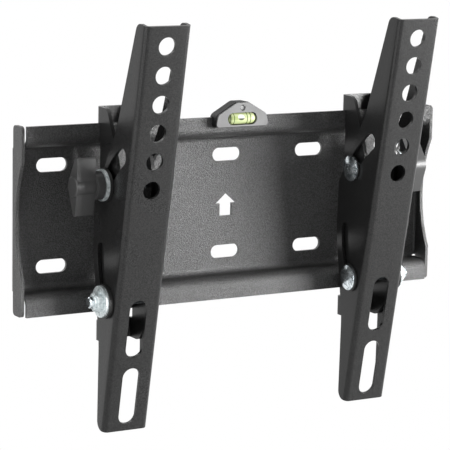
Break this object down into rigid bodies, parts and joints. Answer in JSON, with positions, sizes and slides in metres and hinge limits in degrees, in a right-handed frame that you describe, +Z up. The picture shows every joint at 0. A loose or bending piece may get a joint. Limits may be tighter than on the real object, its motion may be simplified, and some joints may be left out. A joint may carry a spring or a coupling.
{
  "type": "tilting television wall mount",
  "caption": "Low-profile tilting wall mount: a folded wall plate with a clip-on spirit level, and two slotted arms that hang on it, slide sideways and tilt under clamping knobs.",
  "frame": {"origin": "middle of the wall slot pattern, on the wall plate's back face", "axes": "+X to the right as seen from the front, +Y into the wall, +Z up; the front of the mount is at negative Y"},
  "size_m": [0.2612, 0.0693, 0.2224],
  "materials": {
    "plate_paint": "fine textured powder coat",
    "arm_paint": "fine textured powder coat",
    "bracket_paint": "fine textured powder coat",
    "zinc_steel": "bright zinc plated",
    "zinc_head": "zinc plated, domed heads",
    "black_washer": "plain black",
    "knob_plastic": "moulded, slightly rough",
    "level_plastic": "moulded, satin",
    "level_face": "moulded, satin, pale grey",
    "level_vial": "clear with tinted liquid",
    "level_pin": "moulded, satin"
  },
  "bodies": {
    "plate": {"wall_plate": "plate_paint", "level_housing": "level_plastic", "level_face": "level_face", "level_vial": "level_vial", "level_pin": "level_pin"},
    "left_bracket": {"left_hook_bracket": "bracket_paint", "left_knob_bolt": "zinc_head", "left_knob_seat_washer": "black_washer", "left_knob_slide_washer": "black_washer", "left_knob_steel_washer": "zinc_steel", "left_lower_bolt": "zinc_head", "left_lower_seat_washer": "black_washer", "left_lower_slide_washer": "black_washer", "left_lower_steel_washer": "zinc_steel", "left_lower_nut": "zinc_steel"},
    "left_arm": {"left_tilt_arm": "arm_paint"},
    "left_knob": {"left_tilt_knob": "knob_plastic", "left_knob_insert": "zinc_steel"},
    "right_bracket": {"right_hook_bracket": "bracket_paint", "right_knob_bolt": "zinc_head", "right_knob_seat_washer": "black_washer", "right_knob_slide_washer": "black_washer", "right_knob_steel_washer": "zinc_steel", "right_lower_bolt": "zinc_head", "right_lower_seat_washer": "black_washer", "right_lower_slide_washer": "black_washer", "right_lower_steel_washer": "zinc_steel", "right_lower_nut": "zinc_steel"},
    "right_arm": {"right_tilt_arm": "arm_paint"},
    "right_knob": {"right_tilt_knob": "knob_plastic", "right_knob_insert": "zinc_steel"}
  },
  "joints": [
    {"name": "left_slide", "type": "slide", "parent": "plate", "child": "left_bracket", "axis": [1, 0, 0], "range_m": [-0.04, 0.042]},
    {"name": "left_tilt", "type": "hinge", "parent": "left_bracket", "child": "left_arm", "pos_m": [-0.0744, -0.0793, -0.0165], "axis": [1, 0, 0], "range_deg": [-21, 1]},
    {"name": "left_knob_turn", "type": "hinge", "parent": "left_bracket", "child": "left_knob", "pos_m": [-0.0944, -0.027, 0.019], "axis": [1, 0, 0], "continuous": true},
    {"name": "right_slide", "type": "slide", "parent": "plate", "child": "right_bracket", "axis": [1, 0, 0], "range_m": [-0.0495, 0.034]},
    {"name": "right_tilt", "type": "hinge", "parent": "right_bracket", "child": "right_arm", "pos_m": [0.0805, -0.0793, -0.0165], "axis": [1, 0, 0], "range_deg": [-21, 1]},
    {"name": "right_knob_turn", "type": "hinge", "parent": "right_bracket", "child": "right_knob", "pos_m": [0.1005, -0.027, 0.019], "axis": [1, 0, 0], "continuous": true}
  ]
}
